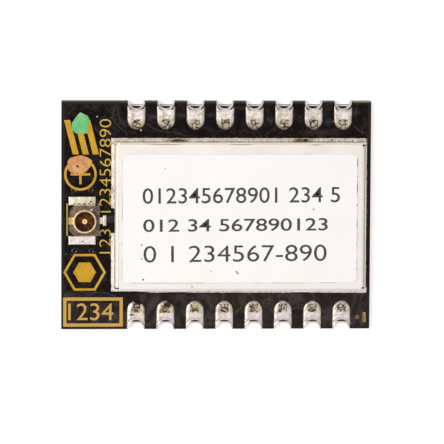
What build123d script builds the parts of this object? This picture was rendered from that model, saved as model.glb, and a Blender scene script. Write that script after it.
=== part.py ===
from build123d import *
from math import asin, cos, sin
import os

# Surface-mount radio module: a castellated board, a folded shield can with a paper label, and a miniature
# coaxial aerial socket. Millimetres. +X runs along the long side, away from the socket, +Y runs towards the
# upper terminal row and +Z is up. The origin is the middle of the footprint, under the terminal lands.

# Board, and its terminal rows: half-holes on the usual tenth-of-an-inch pitch, set out from the right
# end for as far as the room kept for the aerial socket allows
board_length = 26.64
board_width = 19.7
board_thickness = 1.0
terminal_pitch = 2.54
right_margin = 2.43
socket_room = 5.0
hole_radius = 0.66
barrel_wall = 0.06
land_ring = 0.125
land_length = 2.45
bottom_land_length = 2.0
top_land = 0.12
bottom_land = 0.05
land_slope = 0.08
foot_film_inset = 0.32

# Shield can: one tinned sheet, folded down on four sides
land_to_can = 0.99
can_edge_gap = 0.53
can_height = 1.8
sheet = 0.2
bend_inner = 0.1
corner_slit = 0.12
relief_margin = 0.06
wall_notch_width = 1.15
wall_notch_height = 0.5
wall_notch_spacing = 10.66
trace_notch_width = 1.7
trace_notch_height = 0.6

# Solder that holds the can
fillet_reach = 0.28
fillet_rise = 0.26
fillet_top = 0.03
solder_break_margin = 0.2

# Label
label_left = 0.62
label_right = 0.77
label_upper = 0.99
label_lower = 0.74
label_corner = 0.56
label_thickness = 0.1

# Aerial socket, a standard miniature push-fit receptacle with a 2 mm ring
socket_from_edge = 1.98
socket_y = -0.45
signal_to_can = 0.64
ring_radius = 1.0
ring_wall = 0.15
ring_height = 1.22
ring_lip = 0.34
ring_groove = 0.05
ring_groove_height = 0.28
ring_round = 0.05
insulator_margin = 0.3
insulator_height = 0.38
insulator_floor = 0.5
insulator_chamfer = 0.42
foot_width = 1.8
foot_thickness = 0.12
foot_reach = 0.32
back_lug_width = 0.6
back_lug_reach = 0.38
pin_radius = 0.25
pin_height = 1.0
pin_round = 0.06
pin_dimple = 0.09
tail_width = 0.56
tail_thickness = 0.1
tail_reach = 0.36
tail_clearance = 0.12
ground_pad_width = 2.36
ground_pad_length = 0.79
ground_shift = -0.2
ground_solder = 0.15
signal_pad_width = 0.95
signal_pad_length = 0.38
signal_solder = 0.14
pad_slope = 0.06
tail_overlap = 0.12

# Inspection paint on the board's left end, measured from the upper left corner
paint_thickness = 0.04
green_from_left = 1.6
green_from_top = 1.98
orange_from_left = 1.58
orange_from_top = 5.52
orange_half_length = 1.06
orange_half_width = 0.73

# Parts under the can
part_gap = 0.6
cluster_shift = 0.85
chip_side = 4.0
chip_height = 0.8
chip_standoff = 0.04
chip_pad_side = 2.6
chip_land_pitch = 0.5
chip_lands_per_side = 6
chip_land_width = 0.24
chip_land_length = 0.4
chip_mark_radius = 0.25
chip_mark_depth = 0.04
oscillator_length = 2.5
oscillator_width = 2.0
oscillator_base = 0.5
oscillator_lid = 0.25
oscillator_lid_margin = 0.15
oscillator_corner = 0.2
switch_length = 2.0
switch_width = 1.25
switch_height = 0.8
switch_standoff = 0.1
switch_lead_pitch = 0.65
switch_lead_width = 0.25
switch_lead_thickness = 0.12
switch_lead_foot = 0.22
switch_lead_reach = 0.43
supply_length = 2.0
supply_width = 1.6
supply_height = 1.0
supply_cap = 0.4
passive_length = 1.0
passive_width = 0.5
passive_cap = 0.25
cap_proud = 0.02
capacitor_height = 0.5
resistor_height = 0.35
winding_radius = 0.19

# Worked out from the sizes above
left_edge = -board_length / 2
right_edge = board_length / 2
upper_edge = board_width / 2
lower_edge = -board_width / 2
terminals_per_row = int((board_length - right_margin - socket_room) / terminal_pitch) + 1
board_top = bottom_land + board_thickness
land_half = hole_radius + land_ring
drill_radius = hole_radius + barrel_wall
insulator_side = 2 * (ring_radius + insulator_margin)
socket_x = left_edge + socket_from_edge
tail_end = insulator_side / 2 + tail_reach
signal_pad_start = tail_end - tail_overlap
signal_pad_end = signal_pad_start + signal_pad_length
can_left = socket_x + signal_pad_end + signal_to_can
can_right = right_edge - can_edge_gap
can_length = can_right - can_left
can_width = board_width - 2 * (land_length + land_to_can)
can_x = (can_left + can_right) / 2
bend_outer = bend_inner + sheet
can_top = board_top + can_height

on_floor = (Align.CENTER, Align.CENTER, Align.MIN)


def terminal_x(place):
    """X of a terminal in either row, counted from the right end, where terminal 1 is."""
    return right_edge - right_margin - place * terminal_pitch


def upper_land_outline():
    """A land that starts at the board's edge, round at its inner end, around the half-hole."""
    length = land_length
    shoulder = length - land_half
    outline = Line((hole_radius, 0), (land_half, 0))
    outline += Line((land_half, 0), (land_half, shoulder))
    outline += ThreePointArc((land_half, shoulder), (0, length), (-land_half, shoulder))
    outline += Line((-land_half, shoulder), (-land_half, 0))
    outline += Line((-land_half, 0), (-hole_radius, 0))
    outline += ThreePointArc((-hole_radius, 0), (0, hole_radius), (hole_radius, 0))
    return make_face(outline)


def lower_land_outline():
    """The land underneath, with a square inner end, whose solder film closes the inner part of the hole's foot."""
    length = bottom_land_length
    film_angle = asin(foot_film_inset / hole_radius)
    film_half = hole_radius * cos(film_angle)
    bulge_x = hole_radius * cos(film_angle / 2)
    bulge_y = hole_radius * sin(film_angle / 2)
    corners = [(hole_radius, 0), (land_half, 0), (land_half, length)]
    corners += [(-land_half, length), (-land_half, 0), (-hole_radius, 0)]
    outline = Polyline(*corners)
    outline += ThreePointArc((-hole_radius, 0), (-bulge_x, bulge_y), (-film_half, foot_film_inset))
    outline += Line((-film_half, foot_film_inset), (film_half, foot_film_inset))
    outline += ThreePointArc((film_half, foot_film_inset), (bulge_x, bulge_y), (hole_radius, 0))
    return make_face(outline)


def barrel_outline():
    """The plated half-hole's wall."""
    outline = Line((hole_radius, 0), (drill_radius, 0))
    outline += ThreePointArc((drill_radius, 0), (0, drill_radius), (-drill_radius, 0))
    outline += Line((-drill_radius, 0), (-hole_radius, 0))
    outline += ThreePointArc((-hole_radius, 0), (0, hole_radius), (hole_radius, 0))
    return make_face(outline)


def terminal():
    """Top land with its pillow of solder, plated half-hole and bottom land, as one piece."""
    upper = extrude(upper_land_outline(), top_land)
    rims = upper.edges().group_by(Axis.Z)[-1]
    arcs = rims.filter_by(GeomType.CIRCLE).sort_by(Axis.Y)
    sides = rims.filter_by(GeomType.LINE).filter_by(Axis.Y)
    upper = chamfer([arcs[-1]] + list(sides), land_slope)
    barrel = extrude(barrel_outline(), board_thickness)
    lower = extrude(lower_land_outline(), bottom_land)
    return Pos(0, 0, board_top) * upper + Pos(0, 0, bottom_land) * barrel + lower


def circuit_board():
    """Laminate with a row of half-holes along each long edge."""
    board = Pos(0, 0, bottom_land) * Box(board_length, board_width, board_thickness, align=on_floor)
    holes = []
    drill = Cylinder(drill_radius, board_thickness, align=on_floor)
    for place in range(terminals_per_row):
        holes.append(Pos(terminal_x(place), lower_edge, bottom_land) * drill)
        holes.append(Pos(terminal_x(place), upper_edge, bottom_land) * drill)
    return board - holes


def tub(length, width, height, corner):
    """A block with its four upper edges rounded, as a sheet bends over a die."""
    block = Box(length, width, height, align=on_floor)
    return fillet(block.edges().group_by(Axis.Z)[-1], corner)


def shield_can():
    """One sheet folded down on four sides: lid, walls, corner slits and reliefs, and the wall cut-outs."""
    shell = tub(can_length, can_width, can_height, bend_outer)
    shell -= tub(can_length - 2 * sheet, can_width - 2 * sheet, can_height - sheet, bend_inner)
    relief = bend_outer + relief_margin
    cuts = []
    for end in (-1, 1):
        for side in (-1, 1):
            corner = Box(2 * relief, 2 * relief, 2 * relief)
            cuts.append(Pos(end * can_length / 2, side * can_width / 2, can_height) * corner)
            slit_y = side * (can_width / 2 - sheet - corner_slit / 2)
            slit = Box(4 * sheet, corner_slit, can_height - relief / 2, align=on_floor)
            cuts.append(Pos(end * can_length / 2, slit_y, 0) * slit)
    notch = Box(wall_notch_width, 2 * can_width, wall_notch_height, align=on_floor)
    for end in (-1, 1):
        cuts.append(Pos(end * wall_notch_spacing / 2, 0, 0) * notch)
    trace_notch = Box(4 * sheet, trace_notch_width, trace_notch_height, align=on_floor)
    cuts.append(Pos(-can_length / 2, socket_y, 0) * trace_notch)
    return Pos(can_x, 0, board_top) * (shell - cuts)


def shield_solder():
    """The fillet round the can's foot, broken at the wall cut-outs and the aerial trace."""
    foot = Rectangle(can_length + 2 * fillet_reach, can_width + 2 * fillet_reach)
    head = Rectangle(can_length + 2 * fillet_top, can_width + 2 * fillet_top)
    bank = loft([foot, Pos(0, 0, fillet_rise) * head])
    bank -= Box(can_length, can_width, 4 * fillet_rise)
    break_width = wall_notch_width + 2 * solder_break_margin
    cuts = []
    for end in (-1, 1):
        gap = Box(break_width, 2 * can_width, 4 * fillet_rise)
        cuts.append(Pos(end * wall_notch_spacing / 2, 0, 0) * gap)
    trace_gap = Box(can_length, trace_notch_width + 2 * solder_break_margin, 4 * fillet_rise)
    cuts.append(Pos(-can_length / 2, socket_y, 0) * trace_gap)
    runs = (Pos(can_x, 0, board_top) * (bank - cuts)).solids()
    *others, right_run = sorted(runs, key=lambda run: run.center().X)
    upper_left, upper = [run for run in others if run.center().Y > 0]
    lower_left, lower = [run for run in others if run.center().Y < 0]
    return {
        "shield_solder_upper_left": upper_left,
        "shield_solder_upper": upper,
        "shield_solder_right": right_run,
        "shield_solder_lower": lower,
        "shield_solder_lower_left": lower_left,
    }


def label():
    """Paper label on the lid, with round corners."""
    length = can_length - label_left - label_right
    width = can_width - label_upper - label_lower
    sheet_of_paper = extrude(RectangleRounded(length, width, label_corner), label_thickness)
    x = can_x + (label_left - label_right) / 2
    y = (label_lower - label_upper) / 2
    return Pos(x, y, can_top) * sheet_of_paper


def socket_ring():
    """The ring that the plug grips: a turned wall with a groove under its lip."""
    outer = ring_radius
    inner = ring_radius - ring_wall
    groove = ring_radius - ring_groove
    lip_start = ring_height - ring_lip
    groove_start = lip_start - ring_groove_height
    section = Polyline(
        (inner, 0),
        (outer, 0),
        (outer, groove_start),
        (groove, groove_start + ring_groove),
        (groove, lip_start - ring_groove),
        (outer, lip_start),
        (outer, ring_height - ring_round),
        (outer - ring_round, ring_height),
        (inner + ring_round, ring_height),
        (inner, ring_height - ring_round),
        close=True,
    )
    return revolve(make_face(Plane.XZ * section), Axis.Z)


def outer_contact():
    """Ring, two ground feet and the back lug, stamped from one strip."""
    ring = socket_ring()
    tail_gap = Box(2 * ring_radius, tail_width + 2 * tail_clearance, insulator_height, align=on_floor)
    ring -= Pos(ring_radius, 0, 0) * tail_gap
    foot_end = insulator_side / 2 + foot_reach
    foot_length = foot_end - ring_radius / 2
    foot = Box(foot_width, foot_length, foot_thickness, align=(Align.CENTER, Align.MIN, Align.MIN))
    foot = Pos(0, ring_radius / 2, 0) * foot
    foot -= Cylinder(ring_radius - ring_wall / 2, foot_thickness, align=on_floor)
    lug_length = back_lug_reach + ring_wall / 2
    lug = Box(lug_length, back_lug_width, foot_thickness, align=(Align.MAX, Align.CENTER, Align.MAX))
    lug = Pos(-ring_radius + ring_wall / 2, 0, insulator_height) * lug
    return ring + foot + Rot(0, 0, 180) * foot + lug


def centre_contact():
    """Pin with a dimpled tip, and the flat tail that runs out under the insulator."""
    section = Polyline(
        (0, 0),
        (pin_radius, 0),
        (pin_radius, pin_height - pin_round),
        (pin_radius - pin_round, pin_height),
        (pin_dimple, pin_height),
        (0, pin_height - pin_dimple),
        close=True,
    )
    pin = revolve(make_face(Plane.XZ * section), Axis.Z)
    tail = Box(tail_end, tail_width, tail_thickness, align=(Align.MIN, Align.CENTER, Align.MIN))
    return pin + tail


def insulator():
    """Moulded base with two cut corners, and the floor inside the ring."""
    base = Box(insulator_side, insulator_side, insulator_height, align=on_floor)
    back_edges = base.edges().filter_by(Axis.Z).group_by(Axis.X)[0]
    base = chamfer(back_edges, insulator_chamfer)
    floor = Cylinder(ring_radius - ring_wall, insulator_floor, align=on_floor)
    return base + floor - outer_contact() - centre_contact()


def ground_joint(side):
    """Solder on a ground land, up round the end of the foot."""
    start = insulator_side / 2
    joint = Box(ground_pad_width, ground_pad_length, ground_solder, align=(Align.CENTER, Align.MIN, Align.MIN))
    joint = chamfer(joint.edges().group_by(Axis.Z)[-1], pad_slope)
    joint = Pos(ground_shift, start, 0) * joint
    if side < 0:
        joint = mirror(joint, Plane.XZ)
    return joint - outer_contact()


def signal_joint():
    """Solder on the signal land, round the end of the tail."""
    joint = Box(signal_pad_length, signal_pad_width, signal_solder, align=(Align.MIN, Align.CENTER, Align.MIN))
    joint = chamfer(joint.edges().group_by(Axis.Z)[-1], pad_slope)
    return Pos(signal_pad_start, 0, 0) * joint - centre_contact()


def green_paint():
    """A dab of paint with a pointed top and squared foot."""
    points = [(0, 1.0), (0.66, 0.66), (0.84, 0.34), (0.66, -0.05), (0.69, -0.88)]
    points += [(-0.35, -0.88), (-0.7, -0.55), (-0.73, 0.05), (-0.46, 0.5)]
    dab = extrude(make_face(Polyline(*points, close=True)), paint_thickness)
    return Pos(left_edge + green_from_left, upper_edge - green_from_top, board_top) * dab


def orange_paint():
    """A dab of paint with a wavy round edge."""
    a = orange_half_length
    b = orange_half_width
    points = [(a, 0), (0.9 * a, 0.4 * b), (0.6 * a, 0.75 * b), (0.1 * a, b), (-0.4 * a, 0.85 * b)]
    points += [(-0.8 * a, 0.6 * b), (-a, 0.1 * b), (-0.9 * a, -0.4 * b), (-0.5 * a, -0.7 * b)]
    points += [(-0.1 * a, -b), (0.4 * a, -0.9 * b), (0.8 * a, -0.5 * b)]
    dab = extrude(make_face(Polyline(*points, close=True)), paint_thickness)
    return Pos(left_edge + orange_from_left, upper_edge - orange_from_top, board_top) * dab


def transceiver_chip():
    """Flat no-lead package: moulded body, lands along four sides, pad beneath and a corner mark."""
    chip = Pos(0, 0, chip_standoff) * Box(chip_side, chip_side, chip_height, align=on_floor)
    chip += Box(chip_pad_side, chip_pad_side, 2 * chip_standoff, align=on_floor)
    land = Box(chip_land_width, chip_land_length, 2 * chip_standoff, align=(Align.CENTER, Align.MAX, Align.MIN))
    row = (chip_lands_per_side - 1) * chip_land_pitch
    for turn in range(4):
        for place in range(chip_lands_per_side):
            spot = Pos(place * chip_land_pitch - row / 2, chip_side / 2, 0)
            chip += Rot(0, 0, 90 * turn) * spot * land
    mark = Cylinder(chip_mark_radius, chip_mark_depth, align=(Align.CENTER, Align.CENTER, Align.MAX))
    mark_at = chip_side / 2 - 2 * chip_mark_radius
    return chip - Pos(-mark_at, mark_at, chip_standoff + chip_height) * mark


def reference_oscillator():
    """Ceramic base with a welded metal lid."""
    base = Box(oscillator_length, oscillator_width, oscillator_base, align=on_floor)
    lid = RectangleRounded(
        oscillator_length - 2 * oscillator_lid_margin,
        oscillator_width - 2 * oscillator_lid_margin,
        oscillator_corner,
    )
    return base + Pos(0, 0, oscillator_base) * extrude(lid, oscillator_lid)


def switch_lead():
    """A gull-wing lead, drawn from the side: foot, riser and shoulder."""
    body_face = switch_width / 2
    toe = body_face + switch_lead_reach
    heel = toe - switch_lead_foot
    shoulder = switch_standoff + switch_height / 2
    thick = switch_lead_thickness
    side_view = Polyline(
        (toe, 0),
        (toe, thick),
        (heel + thick / 2, thick),
        (heel, shoulder + thick / 2),
        (body_face - thick, shoulder + thick / 2),
        (body_face - thick, shoulder - thick / 2),
        (heel - thick, shoulder - thick / 2),
        (heel - thick / 2, 0),
        close=True,
    )
    return extrude(make_face(Plane.YZ * side_view), switch_lead_width / 2, both=True)


def aerial_switch():
    """Small moulded package with three gull-wing leads on each side."""
    switch = Pos(0, 0, switch_standoff) * Box(switch_length, switch_width, switch_height, align=on_floor)
    for place in (-1, 0, 1):
        lead = Pos(place * switch_lead_pitch, 0, 0) * switch_lead()
        switch += lead
        switch += mirror(lead, Plane.XZ)
    return switch


def capped_block(length, width, height, cap):
    """A chip part: its body between two end caps that stand slightly proud all round."""
    body = Pos(0, 0, cap_proud) * Box(
        length - 2 * cap_proud, width - 2 * cap_proud, height - 2 * cap_proud, align=on_floor
    )
    end_cap = Box(cap, width, height, align=(Align.MIN, Align.CENTER, Align.MIN))
    return body + Pos(-length / 2, 0, 0) * end_cap + Pos(length / 2 - cap, 0, 0) * end_cap


def supply_inductor():
    """Moulded power inductor with wrapped end terminals."""
    return capped_block(supply_length, supply_width, supply_height, supply_cap)


def matching_inductor():
    """Ceramic bobbin: two square ends and a wound waist."""
    end_cap = Box(passive_cap, passive_width, passive_width, align=(Align.MIN, Align.CENTER, Align.MIN))
    waist = Rot(0, 90, 0) * Cylinder(winding_radius, passive_length - passive_cap)
    bobbin = Pos(0, 0, passive_width / 2) * waist
    bobbin += Pos(-passive_length / 2, 0, 0) * end_cap
    return bobbin + Pos(passive_length / 2 - passive_cap, 0, 0) * end_cap


def capacitor():
    return capped_block(passive_length, passive_width, capacitor_height, passive_cap)


def resistor():
    return capped_block(passive_length, passive_width, resistor_height, passive_cap)


def parts_under_can():
    """Radio, clock, switch and the small parts round them, spaced outwards from the radio chip."""
    step = part_gap + passive_width
    lane = part_gap + passive_length
    beside = chip_side / 2 + part_gap + passive_width / 2
    filter_column = beside + step
    switch_at = filter_column + passive_width / 2 + part_gap + switch_length / 2
    output_column = switch_at + switch_length / 2 + part_gap + passive_width / 2
    clock_at = chip_side / 2 + part_gap + oscillator_length / 2
    clock_y = part_gap / 2 + oscillator_width / 2
    supply_at = chip_side / 2 + part_gap + supply_length / 2
    supply_y = -part_gap / 2 - supply_width / 2
    far_column = chip_side / 2 + 2 * part_gap + max(oscillator_length, supply_length) + passive_width / 2
    placed = {
        "transceiver_chip": (transceiver_chip(), 0, 0, 0),
        "reference_oscillator": (reference_oscillator(), clock_at, clock_y, 0),
        "aerial_switch": (aerial_switch(), -switch_at, socket_y, 0),
        "supply_inductor": (supply_inductor(), supply_at, supply_y, 0),
        "matching_inductor_1": (matching_inductor(), -beside, lane, 90),
        "matching_inductor_2": (matching_inductor(), -filter_column, lane / 2, 90),
        "matching_inductor_3": (matching_inductor(), -output_column, socket_y + lane / 2, 90),
        "capacitor_1": (capacitor(), -beside, 0, 90),
        "capacitor_2": (capacitor(), -beside, -lane, 90),
        "capacitor_3": (capacitor(), -filter_column, -lane / 2, 90),
        "capacitor_4": (capacitor(), -output_column, socket_y - lane / 2, 90),
        "capacitor_5": (capacitor(), -lane, beside, 0),
        "capacitor_6": (capacitor(), 0, beside, 0),
        "capacitor_7": (capacitor(), lane, beside, 0),
        "capacitor_8": (capacitor(), -lane, -beside, 0),
        "capacitor_9": (capacitor(), far_column, clock_y, 90),
        "capacitor_10": (capacitor(), far_column, supply_y, 90),
        "resistor_1": (resistor(), 0, -beside, 0),
        "resistor_2": (resistor(), lane, -beside, 0),
    }
    seated = {}
    for name, (shape, x, y, turn) in placed.items():
        seated[name] = Pos(can_x + cluster_shift + x, y, board_top) * Rot(0, 0, turn) * shape
    return seated


def terminals():
    """Both rows, numbered from the right along the lower edge and back along the upper edge."""
    one = terminal()
    rows = {}
    for place in range(terminals_per_row):
        lower_number = place + 1
        upper_number = 2 * terminals_per_row - place
        rows[f"terminal_{lower_number:02d}"] = Pos(terminal_x(place), lower_edge, 0) * one
        rows[f"terminal_{upper_number:02d}"] = Pos(terminal_x(place), upper_edge, 0) * Rot(0, 0, 180) * one
    return rows


def aerial_socket():
    """The socket's three pieces and their solder, set on the board."""
    seat = Pos(socket_x, socket_y, board_top)
    return {
        "socket_outer_contact": seat * outer_contact(),
        "socket_insulator": seat * insulator(),
        "socket_centre_contact": seat * centre_contact(),
        "socket_ground_solder_upper": seat * ground_joint(1),
        "socket_ground_solder_lower": seat * ground_joint(-1),
        "socket_signal_solder": seat * signal_joint(),
    }


pieces = {"circuit_board": circuit_board(), "shield_can": shield_can(), "label": label()}
pieces.update(terminals())
pieces.update(shield_solder())
pieces.update(aerial_socket())
pieces["green_paint_mark"] = green_paint()
pieces["orange_paint_mark"] = orange_paint()
pieces.update(parts_under_can())

os.makedirs("parts", exist_ok=True)
for name, piece in pieces.items():
    export_step(piece, f"parts/{name}.step")
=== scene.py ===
import math

import bmesh
import bpy
from mathutils import Euler, Matrix, Vector, noise


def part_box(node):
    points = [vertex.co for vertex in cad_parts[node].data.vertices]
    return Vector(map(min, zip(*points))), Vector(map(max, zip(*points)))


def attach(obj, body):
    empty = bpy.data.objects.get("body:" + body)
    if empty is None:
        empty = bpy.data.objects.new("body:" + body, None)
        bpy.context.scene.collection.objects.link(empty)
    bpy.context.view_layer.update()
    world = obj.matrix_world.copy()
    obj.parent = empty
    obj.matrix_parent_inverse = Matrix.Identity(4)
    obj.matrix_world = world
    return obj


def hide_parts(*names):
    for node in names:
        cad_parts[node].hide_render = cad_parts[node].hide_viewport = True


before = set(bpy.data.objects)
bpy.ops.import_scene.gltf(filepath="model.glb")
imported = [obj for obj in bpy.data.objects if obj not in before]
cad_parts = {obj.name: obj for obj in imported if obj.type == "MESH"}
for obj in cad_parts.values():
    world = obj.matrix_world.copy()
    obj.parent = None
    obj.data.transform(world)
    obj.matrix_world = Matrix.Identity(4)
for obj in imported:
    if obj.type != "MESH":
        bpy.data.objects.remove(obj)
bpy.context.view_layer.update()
body = "root"
mm = 0.001


# The studio: a white sheet under one large soft lamp, in a white room whose right wall is dim. The camera
# looks down through a long lens, from a little above and left of the module's middle.
def linear(hex_colour):
    """An sRGB hex colour as linear red, green, blue and alpha."""
    levels = [int(hex_colour[i : i + 2], 16) / 255 for i in (1, 3, 5)]
    return [v / 12.92 if v <= 0.04045 else ((v + 0.055) / 1.055) ** 2.4 for v in levels] + [1.0]


# What the word after a node's kind sets, where that isn't the operation.
main_settings = {"Mix": "data_type", "MapRange": "interpolation_type"}


def add(tree, kind, *inputs, stops=(), **settings):
    """Adds a node and gives its output. Its kind is a shader node's unless it says Node, and its operation or
    the like may follow it. Then come its inputs in turn, a ramp's stops, and settings or inputs by name."""
    kind, _, main_setting = kind.partition(" ")
    made = tree.nodes.new(kind if "Node" in kind else "ShaderNode" + kind)
    if main_setting:
        setattr(made, main_settings.get(kind, "operation"), main_setting.upper())
    for name in [name for name in settings if hasattr(made, name)]:
        setattr(made, name, settings.pop(name))
    given = list(zip([socket for socket in made.inputs if socket.enabled], inputs))
    given += [(made.inputs[name.replace("_", " ")], value) for name, value in settings.items()]
    for socket, value in given:
        if isinstance(value, bpy.types.NodeSocket):
            tree.links.new(value, socket)
        else:
            socket.default_value = linear(value) if str(value).startswith("#") else value
    for i, (position, colour) in enumerate(stops):
        element = made.color_ramp.elements[i] if i < 2 else made.color_ramp.elements.new(position)
        element.position = position
        element.color = linear(colour)
    return next((socket for socket in made.outputs if socket.enabled), None)


scene = bpy.context.scene
scene.view_settings.view_transform = "Standard"


def shown(name, data):
    """A new object in the scene."""
    made = bpy.data.objects.new(name, data)
    scene.collection.objects.link(made)
    return made


camera_data = bpy.data.cameras.new("camera")
camera_data.lens = 281.42
camera_data.sensor_width = 36.0
camera_data.clip_start = 10 * mm
camera = shown("camera", camera_data)
camera.location = (-18 * mm, 28 * mm, 298 * mm)
camera.rotation_euler = Euler([math.radians(angle) for angle in (-5.50604, -3.53609, 0.29856)])
scene.camera = camera

lamp_place = Vector((-0.24, 0.06, 0.54))
lamp_data = bpy.data.lights.new("key_lamp", "AREA")
lamp_data.shape = "SQUARE"
lamp_data.size = 0.22
lamp_data.energy = 1.2
key_lamp = shown("key_lamp", lamp_data)
key_lamp.location = lamp_place
key_lamp.rotation_euler = (-lamp_place).to_track_quat("-Z", "Y").to_euler()

world = bpy.data.worlds.new("white_room")
scene.world = world
world.use_nodes = True
sky = world.node_tree
sky.nodes.clear()
direction = add(sky, "TexCoord").node.outputs["Generated"]
rightwards, _, upwards = add(sky, "SeparateXYZ", direction).node.outputs
from_left = add(sky, "MapRange", rightwards, -0.9, 0.9)
wall_shades = ((0.0, "#fbf6f0"), (0.3, "#f0eae3"), (0.5, "#d6d0ca"), (0.7, "#8f8984"), (1.0, "#5f5a56"))
walls = add(sky, "ValToRGB", from_left, stops=wall_shades)
overhead = add(sky, "MapRange smoothstep", upwards, 0.45, 0.88)
room = add(sky, "Mix rgba", overhead, walls, "#fffdfb")
room_light = add(sky, "Background", "#fffdfb", 0.72)
room_seen = add(sky, "Background", room, 1.0)
white_seen = add(sky, "Background", "#ffffff", 1.0)
rays = add(sky, "LightPath").node.outputs
in_metal = add(sky, "MixShader", rays["Is Glossy Ray"], room_light, room_seen)
direct = add(sky, "Math maximum", rays["Is Camera Ray"], rays["Is Transmission Ray"])
add(sky, "OutputWorld", add(sky, "MixShader", direct, in_metal, white_seen))

sheet_mesh = bpy.data.meshes.new("white_sheet")
reach = 3.0
corners = [(-reach, -reach, 0), (reach, -reach, 0), (reach, reach, 0), (-reach, reach, 0)]
sheet_mesh.from_pydata(corners, [], [(0, 1, 2, 3)])
white_sheet = shown("white_sheet", sheet_mesh)
white_card = bpy.data.materials.new("white_card")
white_card.use_nodes = True
tree = white_card.node_tree
tree.nodes.clear()
rays = add(tree, "LightPath").node.outputs
seen = add(tree, "Math maximum", rays["Is Camera Ray"], rays["Is Glossy Ray"])
lift = add(tree, "Math multiply", seen, 0.42)
own_light = add(tree, "Emission", "#ffffff", lift)
lit = add(tree, "BsdfDiffuse", "#f2f0f1")
add(tree, "OutputMaterial", add(tree, "AddShader", own_light, lit))
sheet_mesh.materials.append(white_card)


# Circuit board: one sheet of glass-epoxy laminate under black solder mask, cut from a panel. The copper under
# the mask stops short of the edge, and the sawn edge shows the olive laminate.
board_low, board_high = (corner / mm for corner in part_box("circuit_board"))
board_top = board_high.z
copper_inset = 0.27
ply = 0.125


def material(name, **settings):
    """A new material, its tree, its shader with plain values given by name, and places in millimetres."""
    made = bpy.data.materials.new(name)
    made.use_nodes = True
    tree = made.node_tree
    tree.nodes.clear()
    surface = add(tree, "BsdfPrincipled", **settings)
    add(tree, "OutputMaterial", surface)
    metres = add(tree, "TexCoord").node.outputs["Object"]
    return made, tree, surface.node, add(tree, "VectorMath scale", metres, Scale=1 / mm)


def mottled(tree, place, grain, stops, **settings):
    """A tone whose shades drift into one another over a grain in millimetres."""
    return add(tree, "ValToRGB", add(tree, "TexNoise", place, Scale=1 / grain, **settings), stops=stops)


def wash(tree, tone, colour, measure, *ends, blend="linear"):
    """Lays another colour over a tone, in a share that changes with a measure between two ends."""
    share = add(tree, "MapRange " + blend, measure, *ends)
    return add(tree, "Mix rgba", share, tone, colour)


def faded(tree, share, measure, *ends, blend="linear"):
    """A share of a colour, times another share that changes with a measure between two ends."""
    return add(tree, "Math multiply", share, add(tree, "MapRange " + blend, measure, *ends))


def stain(tree, place, tone, colour, x, y, half_x, half_y, ragged=0.35, solid=0.75, full=1.0):
    """Lays a ragged stain of another colour over a tone, around a point in millimetres."""
    moved = add(tree, "VectorMath subtract", place, (x, y, 0.0))
    sized = add(tree, "VectorMath multiply", moved, (1 / half_x, 1 / half_y, 0.0))
    off = add(tree, "VectorMath length", sized)
    grain = 0.5 * min(half_x, half_y) + 0.03
    waver = add(tree, "TexNoise", place, Scale=1 / grain, Detail=3.0)
    off = add(tree, "Math multiply_add", waver, 2 * ragged, off)
    ends = (solid + ragged, 1.05 + ragged, full, 0.0)
    share = add(tree, "MapRange smoothstep", off, *ends)
    return add(tree, "Mix rgba", share, tone, colour)


def lay_finish(shader, tone, relief=None, height=0.0):
    """Gives a shader its colour, and a fine relief that stands up by a height in millimetres."""
    tree = shader.id_data
    tree.links.new(tone, shader.inputs["Base Color"])
    if relief:
        bump = add(tree, "Bump", Strength=1.0, Distance=height * mm, Height=relief)
        tree.links.new(bump, shader.inputs["Normal"])


# Satin near-black with faint grey swirls where copper lies under it, pale smears where it has been handled,
# and flux that has dried in wrinkles between the lower lands.
masked_laminate, tree, shader, place = material("black_solder_mask", Roughness=0.4, Specular_IOR_Level=0.05)
across, along, up = add(tree, "SeparateXYZ", place).node.outputs
mask_shades = ((0.3, "#0c0807"), (0.46, "#120d0c"), (0.53, "#191312"), (0.58, "#2d2725"), (0.62, "#161110"))
mask = mottled(tree, place, 1.5, mask_shades + ((0.8, "#231d1c"),), Detail=4.0, Distortion=1.8)
haze = add(tree, "MapRange smoothstep", along, -7.1, -6.2, 0.75, 0.0)
wrinkle_shades = ((0.38, "#241d1c"), (0.48, "#352d2b"), (0.55, "#4a413e"), (0.61, "#2f2726"))
wrinkled = mottled(tree, place, 2.2, wrinkle_shades, Detail=2.0, Distortion=1.0)
mask = add(tree, "Mix rgba", haze, mask, wrinkled)
smears = (
    ("#403839", -5.56, 8.5, 0.6, 0.4),
    ("#3a3332", -3.05, 8.6, 0.6, 0.3),
    ("#3d3637", -0.54, 8.65, 0.5, 0.3),
    ("#3a3438", 4.6, 8.2, 0.5, 0.35),
    ("#362c28", 9.0, 7.15, 2.6, 0.5),
    ("#38312f", 11.98, 8.89, 0.5, 0.6),
    ("#3c373b", 9.6, 8.1, 0.5, 0.5),
    ("#2f2b2b", -8.67, 9.32, 0.6, 0.5),
    ("#332e34", -7.9, 8.0, 0.7, 0.35),
)
for smear in smears:
    mask = stain(tree, place, mask, *smear, ragged=0.6, solid=0.0, full=0.75)
distant = add(tree, "VectorMath absolute", place)
copper_ends = (board_high.x - copper_inset, board_high.y - copper_inset, 0.0)
past = add(tree, "VectorMath subtract", distant, copper_ends)
past_x, past_y, _ = add(tree, "SeparateXYZ", past).node.outputs
past = add(tree, "Math maximum", past_x, past_y)
mask = wash(tree, mask, "#2b2320", past, -0.02, 0.03, blend="smoothstep")
# Along the top edge at the right end the olive laminate shows, lightened by a painted glint.
at_cut = add(tree, "MapRange", along, board_high.y - 0.13, board_high.y - 0.08)
bared_laminate_and_glint = faded(tree, at_cut, across, 11.6, 11.8, 0.3, 1.0)
mask = add(tree, "Mix rgba", bared_laminate_and_glint, mask, "#857f69")
waves = add(tree, "Math multiply", up, 2 * math.pi / ply)
waves = add(tree, "Math sine", waves)
fibres = add(tree, "TexNoise", place, Scale=1 / 0.3, Detail=4.0)
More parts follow.
